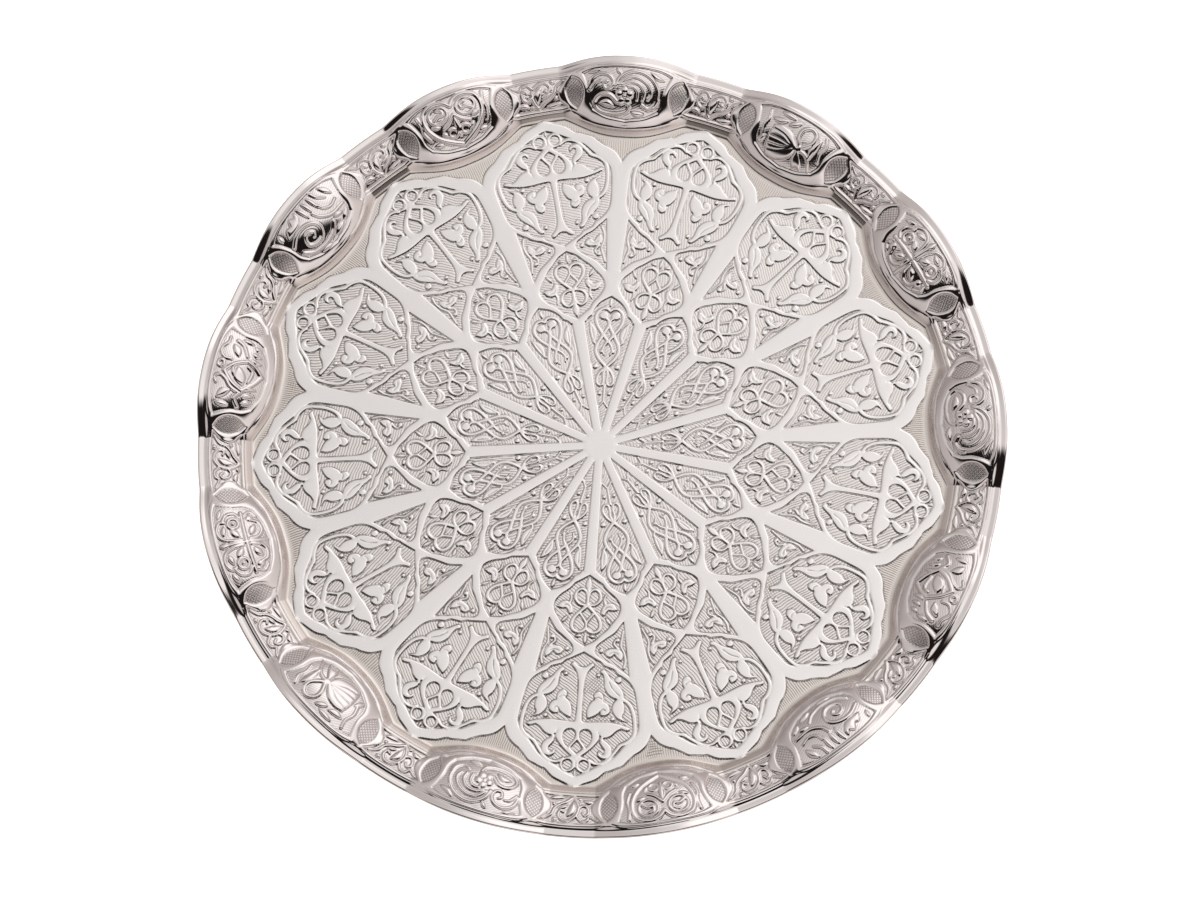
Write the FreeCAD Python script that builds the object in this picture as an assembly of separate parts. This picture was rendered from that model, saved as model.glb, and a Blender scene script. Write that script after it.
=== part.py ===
"""Offering plate: a round, shallow dish pressed from one disc of sheet metal, with a
wall of raised lobes and a rolled edge that holds a steel wire.

Frame: millimetres, +Z up, origin at the centre of the flat underside, and the first
lobe on the +X axis. Two pieces are made:
  dish_sheet  the pressed sheet: floor, lobed wall, lip and the curl at the edge
  edge_wire   the round stiffening wire that the curl is rolled around
"""
import FreeCAD, Part
import math
import os

# ---- driving dimensions ----
LOBES = 13  # raised lobes around the wall
SHEET = 0.7  # sheet thickness
WIRE_RADIUS = 0.6  # edge wire
HEM_GAP = 0.05  # between the wire and the curl rolled around it
WIRE_BUTT_GAP = 0.4  # between the wire's two ends
WIRE_BUTT_AT = 0.5  # where the ends meet, in lobe spacings from the +X lobe

# Each pair is the value midway between two lobes, then at the middle of a lobe.
ROOT_RADIUS = (150.0, 141.5)  # where the wall leaves the floor
LIP_RADIUS = (168.3, 169.5)  # where the wall meets the lip
EDGE_RADIUS = (173.3, 174.8)  # outermost point of the curl
LIP_HEIGHT = (6.3, 13.3)  # top of the lip above the top of the floor
WALL_POWER = (2.0, 2.4)  # how fast the wall flattens towards the lip

LOBE_HALF_WIDTH = 0.74  # share of half a lobe spacing that a lobe reaches over
LOBE_CROWN = 2.4  # how flat a lobe is across its middle
LOBE_FOOT = 1.3  # how softly a lobe runs out at its sides
LIP_DROOP = math.radians(8.0)  # the lip falls this much towards the edge
FLOOR_RING = (128.0, 133.0, 137.0)  # the flat start of the pressed surface
CURL_END = math.radians(-180.0)  # the curl runs round from the lip to this angle

# ---- how finely the surfaces are controlled ----
POLES_PER_LOBE = 20
WALL_STEPS = (0.0, 0.06, 0.14, 0.25, 0.38, 0.52, 0.66, 0.80, 0.92, 1.0)
LIP_STEPS = (0.35, 0.7)
CURL_POLES = 9
WIRE_POLES = 20
DEGREE = 3

CURL_OUTER = WIRE_RADIUS + HEM_GAP + SHEET
CURL_INNER = WIRE_RADIUS + HEM_GAP


def pole_radius(radius, step):
    """The radius for a cubic B-spline's poles, step apart, so that its curve has this radius."""
    return radius * 3.0 / (2.0 + math.cos(step))


def lobe_share(angle):
    """1 at the middle of a lobe, 0 between lobes, and smooth in between."""
    spacing = 2.0 * math.pi / LOBES
    from_lobe = abs((angle / spacing + 0.5) % 1.0 - 0.5) * 2.0
    across = min(from_lobe / LOBE_HALF_WIDTH, 1.0)
    return (1.0 - across**LOBE_CROWN) ** LOBE_FOOT


def between(pair, share):
    return pair[0] + (pair[1] - pair[0]) * share


def edge_centre(angle):
    """Radius and height of the edge wire's centre."""
    share = lobe_share(angle)
    radius = between(EDGE_RADIUS, share) - CURL_OUTER
    lip = between(LIP_RADIUS, share)
    top = SHEET + between(LIP_HEIGHT, share) - (radius - lip) * math.tan(LIP_DROOP)
    return radius, top - CURL_OUTER


def upper_line(angle):
    """(radius, height) points of the sheet's upper side, from the floor to the end of the lip."""
    share = lobe_share(angle)
    root, lip = between(ROOT_RADIUS, share), between(LIP_RADIUS, share)
    height, power = between(LIP_HEIGHT, share), between(WALL_POWER, share)
    line = [(radius, SHEET) for radius in FLOOR_RING]
    for step in WALL_STEPS:
        rise = height * (1.0 - (1.0 - step) ** power)
        line.append((root + (lip - root) * step, SHEET + rise))
    end = edge_centre(angle)[0]
    for step in LIP_STEPS:
        out = (end - lip) * step
        line.append((lip + out, SHEET + height - out * math.tan(LIP_DROOP)))
    return line


def lower_line(line):
    """The sheet's lower side: each point of the upper side moved one thickness along its normal."""
    moved = []
    for i, (radius, height) in enumerate(line):
        before, after = line[max(i - 1, 0)], line[min(i + 1, len(line) - 1)]
        along, up = after[0] - before[0], after[1] - before[1]
        length = math.hypot(along, up)
        moved.append((radius + SHEET * up / length, height - SHEET * along / length))
    return moved


def curl_line(angle, radius, inwards):
    """Points round the edge wire, from over it, past the outside, to the curl's end."""
    centre = edge_centre(angle)
    start = math.pi / 2.0 - LIP_DROOP
    step = (CURL_END - start) / (CURL_POLES - 1)
    reach = pole_radius(radius, step)
    turns = [start + step * i for i in range(CURL_POLES)]
    line = [(centre[0] + reach * math.cos(a), centre[1] + reach * math.sin(a)) for a in turns]
    return line[::-1] if inwards else line


def section(angle):
    """One closed run of the sheet's outside: along the top, round the curl, back along the underside."""
    top = upper_line(angle)
    under = lower_line(top)
    outer = curl_line(angle, CURL_OUTER, False)
    inner = curl_line(angle, CURL_INNER, True)
    return top + outer + inner + under[::-1]


def point(angle, place):
    """A (radius, height) place at this angle round the axis."""
    return FreeCAD.Vector(place[0] * math.cos(angle), place[0] * math.sin(angle), place[1])


def ring_surface(sections, closed_section):
    """A B-spline surface that is periodic round the axis, from one list of places per angle."""
    poles = [[point(angle, place) for place in places] for angle, places in sections]
    around, across = len(poles), len(poles[0])
    around_knots, around_mults = list(range(around + 1)), [1] * (around + 1)
    if closed_section:
        knots, mults = list(range(across + 1)), [1] * (across + 1)
    else:
        knots = list(range(across - DEGREE + 1))
        mults = [DEGREE + 1] + [1] * (len(knots) - 2) + [DEGREE + 1]
    surface = Part.BSplineSurface()
    surface.buildFromPolesMultsKnots(
        poles, around_mults, mults, around_knots, knots, True, closed_section, DEGREE, DEGREE
    )
    return surface


def angles():
    """Evenly spaced all the way round, starting at the middle of the +X lobe."""
    count = LOBES * POLES_PER_LOBE
    return [2.0 * math.pi * i / count for i in range(count)]


def solid_of(faces):
    """A solid whose faces are sewn together, facing outwards."""
    shell = Part.makeShell(faces)
    shell.sewShape()
    solid = Part.makeSolid(Part.Shell(shell.Faces))
    if solid.Volume < 0:
        solid.reverse()
    return solid


def dish_sheet():
    """The pressed surface, closed by a flat disc on the top and one on the underside of the floor."""
    surface = ring_surface([(a, section(a)) for a in angles()], False)
    first, last = surface.bounds()[2:]
    discs = [Part.Face(Part.Wire(surface.vIso(v).toShape())) for v in (first, last)]
    return solid_of([surface.toShape()] + discs)


def wire_section(angle):
    """Points round the edge wire."""
    radius, height = edge_centre(angle)
    reach = pole_radius(WIRE_RADIUS, 2.0 * math.pi / WIRE_POLES)
    turns = [2.0 * math.pi * i / WIRE_POLES for i in range(WIRE_POLES)]
    return [(radius + reach * math.cos(a), height + reach * math.sin(a)) for a in turns]


def edge_wire():
    """A ring that follows the curl, cut through where its two ends meet."""
    ring = solid_of([ring_surface([(a, wire_section(a)) for a in angles()], True).toShape()])
    side = 40.0
    corner = FreeCAD.Vector(EDGE_RADIUS[0] - side / 2.0, -WIRE_BUTT_GAP / 2.0, -side / 2.0)
    gap = Part.makeBox(side, WIRE_BUTT_GAP, side, corner)
    gap.rotate(FreeCAD.Vector(0, 0, 0), FreeCAD.Vector(0, 0, 1), 360.0 / LOBES * WIRE_BUTT_AT)
    return ring.cut(gap)


def main():
    os.makedirs("parts", exist_ok=True)
    for name, make in (("dish_sheet", dish_sheet), ("edge_wire", edge_wire)):
        piece = make().Solids[0]
        piece.exportStep("parts/" + name + ".step")
        box = piece.BoundBox
        size = [round(length, 2) for length in (box.XLength, box.YLength, box.ZLength)]
        print(name, "valid" if piece.isValid() else "NOT VALID", "volume", round(piece.Volume), "size", size)


main()
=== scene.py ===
"""The offering plate's looks: the pressed sheet with its chased ornament in real relief, silver
plate over it, and a soft studio.

All ornament sizes are in millimetres. x runs across and y outwards from the plate's centre, in
the frame of the part that the ornament belongs to:
  petal frame      y along the middle of a petal, which is also the middle of a lobe of the wall
  medallion frame  y along the middle of a medallion, half way between two lobes
"""
import math
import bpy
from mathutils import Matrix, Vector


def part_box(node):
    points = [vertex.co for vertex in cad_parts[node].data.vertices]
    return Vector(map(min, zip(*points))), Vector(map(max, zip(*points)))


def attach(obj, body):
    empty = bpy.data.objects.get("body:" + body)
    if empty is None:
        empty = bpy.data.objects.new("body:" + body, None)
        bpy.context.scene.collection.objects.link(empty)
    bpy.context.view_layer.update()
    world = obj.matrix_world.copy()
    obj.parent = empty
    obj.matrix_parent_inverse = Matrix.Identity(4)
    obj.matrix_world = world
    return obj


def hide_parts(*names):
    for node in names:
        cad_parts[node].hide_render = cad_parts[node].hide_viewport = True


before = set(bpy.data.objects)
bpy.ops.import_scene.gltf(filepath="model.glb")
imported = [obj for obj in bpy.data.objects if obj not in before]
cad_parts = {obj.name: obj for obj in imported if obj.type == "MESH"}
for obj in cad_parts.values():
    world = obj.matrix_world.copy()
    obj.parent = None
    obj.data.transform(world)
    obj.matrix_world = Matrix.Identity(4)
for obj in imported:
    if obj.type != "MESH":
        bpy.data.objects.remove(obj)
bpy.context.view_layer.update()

from copy import copy

import bpy
import numpy as np
from mathutils import Matrix, Vector

MM = 0.001

# ---- the plate's own dimensions, mm ----
LOBES = 13
SPACING = 2.0 * math.pi / LOBES
HALF = SPACING / 2.0
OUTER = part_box("dish_sheet")[1].x / MM  # the first lobe's edge, on +X
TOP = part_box("dish_sheet")[1].z / MM
SHEET = 0.7  # floor top above the rest plane, relief included
WIRE = 0.6
CURL_OUTER = WIRE + 0.05 + SHEET
CURL_INNER = WIRE + 0.05

# Each pair is the value midway between two lobes, then at the middle of a lobe.
ROOT_RADIUS = (150.0, 141.5)
LIP_RADIUS = (OUTER - 6.5, OUTER - 5.3)
EDGE_RADIUS = (OUTER - 1.5, OUTER)
LIP_HEIGHT = (6.3, TOP - SHEET)
WALL_POWER = (2.0, 2.4)
LOBE_HALF_WIDTH, LOBE_CROWN, LOBE_FOOT = 0.74, 2.4, 1.3
LIP_DROOP = math.radians(8.0)
CURL_END = -math.pi
ROOT_FILLET = 0.07  # share of the wall's width over which the floor turns up

# ---- mesh density ----
COLUMNS_PER_LOBE = 192
FIRST_RADIUS, STEP, FLAT_RADIUS = 2.0, 0.36, 137.0  # the evenly spaced rings
FLOOR_RINGS, WALL_RINGS, LIP_RINGS, CURL_RINGS = 30, 92, 14, 20
WALL_CROWDING = 1.15  # above 1, the wall's rings lie closer near its foot
COLUMN_STEPS = ((75.0, 1), (37.0, 2), (18.0, 4), (8.0, 8), (0.0, 16))  # columns skipped, from radius
FLAT_SIZE, FLAT_PLACE = (0.39, 0.11), ((0.405, 0.595), (0.87, 0.13))  # upper and lower side, laid flat
VALUES = ("edge_distance", "across", "along", "crossed", "cut", "border", "wall")

# ---- relief, mm ----
DEPTH, WALL_DEPTH = 0.35, 0.48  # sunk ground below the raised work, on the floor and on the wall
STEP_WIDTH, WALL_STEP_WIDTH = 0.5, 0.9
LINE_DEPTH, LINE_WIDTH, LINE_OUT = 0.10, 0.22, 0.35  # the chased line at the foot of each raised edge
DOME, WALL_DOME, DOME_REACH = 0.07, 0.30, 0.9
ENGRAVED_DEPTH, ENGRAVED_EDGE = 0.18, (-0.25, 0.2)
FLOOR_FADE = 1.0  # the floor's relief runs out this far to each side of the wall's foot
BEAD_GROOVE, BEAD_GROOVE_WIDTH, BEAD_GROOVE_IN = 0.60, 1.5, 2.0  # between the lip and the curled edge
ROOT_BEAD, ROOT_BEAD_WIDTH, ROOT_BEAD_OUT = 0.32, 0.8, 2.3  # round the foot of each lobe
ROOT_BEAD_RISE = (0.2, 0.6)  # it comes up between these shares of a lobe
WALL_ARC_RADIUS, WALL_START = 165.0, 150.0
UNDER_RELIEF = 0.25  # how far the relief shows on the underside
LEAST_THICKNESS = 0.3
HATCH_PITCH, BORDER_PITCH, FACET_PITCH = 1.12, 1.15, 1.6  # the border's cut lines run outwards
HATCH_DEPTH, WALL_HATCH_DEPTH = 0.06, 0.015
MEDALLION_LIE, PETAL_LIE = (-0.8, 0.5, 2.4), (0.9, 0.4, 1.9)  # radians: lie, swing and its pace
BORDER_CUT_ENDS, WALL_CUT_STARTS, WALL_CUT = (-1.2, -3.6), (3.0, 5.0), 0.7  # from the wall's foot
FACET_REACH = (19.0, 28.5)  # along the wall from the middle of a lobe
EDGE_REACH = 1.5  # how far from a raised edge the distance to it is kept
FAR = 9.0  # stands for further than that

# ---- colours, linear ----
PLATE = (0.93, 0.90, 0.885, 1.0)
SUNK = (0.91, 0.855, 0.83, 1.0)
# painted shade near the wall: the border's sunk ground, darker and browner
SHADED_BORDER_GROUND = (0.78, 0.71, 0.67, 1.0)
WALL = (0.85, 0.795, 0.785, 1.0)
# painted shade at the wall's foot, where it turns up from the floor
SHADED_WALL_FOOT = (0.72, 0.64, 0.595, 1.0)
DULL = (0.66, 0.61, 0.575, 1.0)
# tarnish in the cut lines, and tarnish with painted shade in the dark lines at the foot of the raised work
TARNISH_AND_SHADE = (0.16, 0.125, 0.11, 1.0)
WIRE_DULL, WIRE_BRIGHT = (0.50, 0.49, 0.48, 1.0), (0.62, 0.61, 0.60, 1.0)
WHITE = (1.0, 1.0, 1.0, 1.0)

# ---- the silver's finish, and the shade and glare painted on it ----
GROUND_EDGE = (0.0, -0.5)  # from the edge of the raised work to the full ground
FOOT_LINE_OUT, FOOT_LINE_EDGE, FOOT_LINE_LEAST = 0.2, (0.45, 0.05), 0.35
GLARE_CENTRE, GLARE_REACH = (0.05, 0.07, 0.0), (0.06, 0.19)  # metres: centre and reach of the painted glare, where the dark lines are painted fainter
LINES_IN_GLARE, LINES_FULL, WALL_LINES = 0.27, 0.82, 0.36  # how dark the lines are: in the painted glare, elsewhere, on the wall
GROUND_INK, WALL_INK, FACET_INK = 0.7, 0.35, 0.45  # and in the hatching
WALL_FOOT_TOP = (1.2 * MM, 4.0 * MM)  # heights between which the painted shade and the rougher finish of the wall's foot run out
RAISED_ROUGH, SUNK_ROUGH, FACET_ROUGH = 0.19, 0.26, 0.26
FOOT_ROUGH, WALL_ROUGH, WIRE_ROUGH = 0.25, 0.08, (0.25, 0.45)
CLOUDING, CLOUD_ROUGH = 0.15, 0.08
POLISH_DEPTH = 0.002

# ---- the light tent: brightness seen at each height, from the horizon to straight up ----
TENT = (
    (0.0, (0.47, 0.42, 0.405)),
    (0.35, (0.68, 0.635, 0.62)),
    (0.65, (0.82, 0.785, 0.77)),
    (0.93, (0.92, 0.905, 0.895)),
)
TENT_LEFT, TENT_RIGHT, LEFT_TO_RIGHT = 0.75, 1.05, (-0.20, 0.16)  # its share toward -X and toward +X
TENT_BACK, TENT_FRONT, BACK_TO_FRONT = 0.96, 1.12, (0.6, -0.3)  # and toward +Y and toward -Y
SOFTBOX = tuple(Vector((0.45, 0.62, 0.64)).normalized())  # the way to the brightest part
SOFTBOX_EDGE, SOFTBOX_SHARE, SOFTBOX_LIGHT = (0.86, 0.97), 0.5, (1.7, 1.7, 1.7, 1.0)
OPENING_SIDE, OPENING_HEIGHT = (0.15, 0.32), (0.66, 0.80)  # from the tent's wall to full dark
OPENING_WRAP, OPENING_LEAN, OPENING_SAG = 0.25, 0.15, 0.24  # further round, more to -X, lower at the sides
OPENING_DARK = (0.012, 0.009, 0.009, 1.0)
FLOOR_SIZE, FLOOR_DROP, FLOOR_COLOUR = 12.0, 0.0002, (0.9, 0.9, 0.9, 1.0)

# ---- the view ----
VIEW_AZIMUTH, VIEW_ELEVATION, VIEW_ROLL = 3.53, 73.78, 6.43
VIEW_DISTANCE, VIEW_END = 1.954, 50.0
VIEW_LENS, VIEW_SENSOR, VIEW_SHIFT = 136.3, 36.0, -0.0038


# ======== curves and distances
def smooth(a, b, x):
    t = np.clip((x - a) / (b - a), 0.0, 1.0)
    return t * t * (3.0 - 2.0 * t)


def curve(points, pieces=5):
    """A smooth line through the points."""
    p = np.array(points, float)
    if len(p) < 3:
        return p
    padded = np.vstack([2 * p[0] - p[1], p, 2 * p[-1] - p[-2]])
    out = [p[0]]
    for i in range(len(p) - 1):
        a, b, c, d = padded[i : i + 4]
        for t in np.arange(1, pieces + 1) / pieces:
            pull = (2 * b) + (c - a) * t + (2 * a - 5 * b + 4 * c - d) * t**2
            out.append(0.5 * (pull + (3 * b - a - 3 * c + d) * t**3))
    return np.array(out)


def joined(*runs):
    """Smooth runs, each starting where the last one ended, with a corner between them."""
    start, parts = None, []
    for run in runs:
        points = run if start is None else [start] + list(run)
        parts.append(curve(points)[0 if start is None else 1 :])
        start = points[-1]
    return np.vstack(parts)


def closed(*runs):
    """A closed outline from joined runs. The last one, which may be empty, leads back to the start."""
    return joined(*runs[:-1], runs[-1] + runs[0][:1])[:-1]


def mirrored(*runs):
    """A closed outline from its x >= 0 half: joined runs that start and end on the axis or beside it."""
    half = joined(*runs)
    return np.vstack([half, half[::-1] * (-1.0, 1.0)])


def circle(x, y, radius, squash=1.0):
    t = np.linspace(0.0, 2.0 * math.pi, 24, endpoint=False)
    return np.stack([x + radius * np.cos(t), y + radius * squash * np.sin(t)], 1)


def leaf(x, y, end_x, end_y, width, bend=0.0):
    """An almond from one end to the other, bent sideways by a share of its length."""
    along = np.array([end_x - x, end_y - y])
    across = np.array([-along[1], along[0]]) / np.hypot(*along)
    t = np.linspace(0.0, 1.0, 12)[:, None]
    middle = (x, y) + along * t + across * (bend * np.hypot(*along) * 4.0 * t * (1.0 - t))
    side = across * (0.5 * width * np.sin(math.pi * t) ** 0.85)
    return np.vstack([middle + side, (middle - side)[-2:0:-1]])


class Field:
    """How far each point lies inside the raised metal: positive on it, negative in the ground."""

    def __init__(self, x, y):
        self.x, self.y = x, y
        self.inside = np.full(x.shape, FAR)
        self.engraved = np.full(x.shape, -FAR)

    def sides(self):
        """The field twice: as it is, and so that what is drawn in it lands mirrored across x = 0."""
        turned = copy(self)
        turned.x = -self.x
        return self, turned

    def near(self, points, reach):
        low, high = points.min(0) - reach, points.max(0) + reach
        return np.flatnonzero(
            (self.x > low[0]) & (self.x < high[0]) & (self.y > low[1]) & (self.y < high[1])
        )

    def along(self, where, line, ring):
        """Distance to the line, and how far along it the closest place is, from 0 to 1."""
        px, py = self.x[where], self.y[where]
        starts = line if ring else line[:-1]
        ends = np.roll(line, -1, axis=0)[: len(starts)]
        best, place = np.full(px.shape, np.inf), np.zeros(px.shape)
        for i, (a, b) in enumerate(zip(starts, ends)):
            d = b - a
            size = max(float(d @ d), 1e-12)
            t = np.clip(((px - a[0]) * d[0] + (py - a[1]) * d[1]) / size, 0.0, 1.0)
            square = (px - a[0] - t * d[0]) ** 2 + (py - a[1] - t * d[1]) ** 2
            closer = square < best
            best = np.where(closer, square, best)
            place = np.where(closer, (i + t) / len(starts), place)
        return np.sqrt(best), place

    def area(self, outline):
        """(points, signed distance) for a closed outline."""
        where = self.near(outline, EDGE_REACH)
        distance, _ = self.along(where, outline, ring=True)
        px, py = self.x[where], self.y[where]
        within = np.zeros(px.shape, bool)
        for a, b in zip(outline, np.roll(outline, -1, axis=0)):
            spans = (a[1] > py) != (b[1] > py)
            if a[1] != b[1]:
                crossing = a[0] + (py - a[1]) * (b[0] - a[0]) / (b[1] - a[1])
                within ^= spans & (px < crossing)
        return where, np.where(within, distance, -distance)

    def band(self, points, width, end_width):
        """(points, signed distance) for a strap along a smooth line."""
        line, end_width = curve(points), end_width or width
        where = self.near(line, EDGE_REACH + 0.5 * max(width, end_width))
        distance, place = self.along(where, line, ring=False)
        return where, 0.5 * (width + (end_width - width) * place) - distance

    def put(self, found, sink=False):
        where, distance = found
        old = self.inside[where]
        self.inside[where] = np.minimum(old, -distance) if sink else np.maximum(old, distance)

    def raised(self, *outlines):
        for outline in outlines:
            self.put(self.area(outline))

    def ring(self, x, y, radius, hole, squash=1.0):
        self.raised(circle(x, y, radius, squash))
        self.sunk(circle(x, y, hole, squash))

    def sunk(self, *outlines):
        for outline in outlines:
            self.put(self.area(outline), sink=True)

    def strap(self, points, width=1.4, end_width=None):
        self.put(self.band(points, width, end_width))

    def line(self, points, width=0.35, end_width=None):
        where, distance = self.band(points, width, end_width)
        self.engraved[where] = np.maximum(self.engraved[where], distance)


# ======== the floor's ornament
RAY = math.sin(HALF), math.cos(HALF)  # the middle of the ray beside a petal, in the petal's frame


def beside_ray(points):
    """Points given from the ray's middle line, brought into the petal's frame."""
    return [(y * RAY[0] - x * RAY[1], y * RAY[1] + x * RAY[0]) for x, y in points]


def petal(f):
    side = beside_ray([(1.8, 7.3), (2.2, 30)])
    shoulder = beside_ray([(2.6, 54), (3.3, 56), (4.5, 57.5), (6.3, 58.5)])
    top = beside_ray([(7.5, 60.5), (9.5, 62.5), (12, 64)])
    f.sunk(mirrored(side, shoulder, top + [(0, 67.3)]))
    # the heart, whose straps cross below it and end in hooks
    f.strap([(0, 60.6), (1.4, 61.6), (3.5, 61.4), (5.5, 59.4), (5.9, 56.6), (4.9, 53.6), (3.2, 51),
             (1.2, 48.3), (0, 46.9)])
    f.strap([(0, 46.9), (1.5, 44.9), (2.1, 42.7), (1.3, 40.7)], 1.2, 0.6)
    f.raised(circle(2.5, 42.2, 0.8), leaf(0, 62.4, 0, 66.2, 1.3))
    # the pair of bulbs in the heart, and the straps that run down from them to the two loops
    f.raised(circle(2.6, 58.5, 1.9, 0.95))
    f.strap([(1.6, 57.2), (0.4, 56.2), (0, 54)], 1.2)
    f.strap([(0, 54.2), (1.3, 51.6), (3.1, 48.2), (4.5, 45.4), (5.0, 43), (4.6, 41), (3.2, 38.6),
             (1.4, 36.6), (0, 35.2)])
    f.strap([(0, 35.2), (2.2, 33), (3.5, 30.4), (3.5, 28.2), (2.4, 26.9), (1.1, 27.4), (0.7, 29.6),
             (0.9, 32.2), (0, 34.6)], 1.1, 0.9)
    # the stem with its dots and forked foot
    f.strap([(0, 26.9), (0, 23), (0, 19.4)], 1.1, 0.9)
    f.strap([(0, 19.8), (1.8, 17.2)], 0.9, 0.6)
    f.raised(circle(2.1, 23.2, 0.75), circle(4.7, 35.3, 1.0))
    # the leaf beside the heart
    f.raised(leaf(8.7, 55.2, 6.2, 45.6, 3.0, -0.09))
    f.strap([(6.3, 46.4), (5.4, 45.6), (4.4, 45.6)], 1.0, 0.8)
    f.line([(7.5, 52.6), (6.3, 48.2)], 0.3)


def cartouche(f):
    f.sunk(mirrored(
        [(0, 89), (4, 86.7), (7, 83.5)],
        [(9.5, 81), (11.5, 78), (13.5, 75), (14.3, 72), (13.7, 69.7), (11.5, 67), (8, 64.2), (6, 61.7)],
        [(3.5, 60.2), (0, 58)],
    ))
    f.strap([(0, 81.2), (1.3, 82.5), (3.4, 83), (5.4, 82), (6.2, 79.8), (5.5, 77.2), (3.2, 74.4),
             (0, 71.3)], 1.4)
    f.strap([(0, 81.4), (0, 79), (1.3, 76.9), (2.7, 75.1)], 1.0)
    f.strap([(0, 71.3), (3.4, 70.7), (5.3, 68.4), (5, 65.7), (3, 64.1), (1, 65.1), (0, 67.2)], 1.2)
    f.strap([(0, 71.3), (0, 64.4)], 1.2)
    f.raised(leaf(0, 58.9, 0, 65.2, 2.4), leaf(0, 83.6, 0, 88, 1.4))
    f.raised(leaf(1.7, 84.6, 4.4, 84.9, 1.0), leaf(8.2, 76.2, 10.6, 79.2, 1.3))
    f.raised(closed(
        [(13, 72.4), (11, 73), (9.2, 72.9), (8.1, 74)],
        [(7.4, 75.2), (6.1, 74.7), (6.2, 73), (6.9, 71.2), (8.6, 69.7), (11, 70)],
    ))
    f.line([(7.4, 72.6), (8.4, 71.4), (10, 71.3)])
    f.strap([(7.6, 70.4), (7.0, 68.2), (7.6, 66.2)], 0.9, 0.5)


def triangle(f):
    f.sunk(closed(
        [(4.5, 91), (5.4, 92.6), (7.4, 93.9), (10, 95.4)], [(12, 96), (14, 97), (16, 98.4)],
        [(18, 99.6), (20, 101)], [(16, 77.5)], [(15.1, 78.6), (12.5, 82.5), (9, 85.4), (5.4, 88.6)],
    ))
    f.raised(closed(
        [(8.6, 91.2), (9.9, 93), (11.8, 93.1), (13, 91.8), (14.2, 93.3), (16, 94.6)],
        [(16.6, 92.8), (16, 90.6), (14.4, 89.5)], [(12.4, 89.4), (10.2, 89.8)],
    ))
    f.strap([(17.4, 97.6), (17.9, 94.6), (17.2, 91.2), (15.6, 88.2), (15.7, 85), (16, 81.6)], 1.0, 0.8)
    f.strap([(14.6, 89.4), (12.6, 87.4), (13.2, 85.4)], 1.1, 0.7)
    f.raised(circle(13.9, 85.6, 0.9), circle(7.3, 90.6, 0.9))
    f.line([(10.6, 91.6), (12.4, 91), (14.6, 91.6)])


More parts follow.
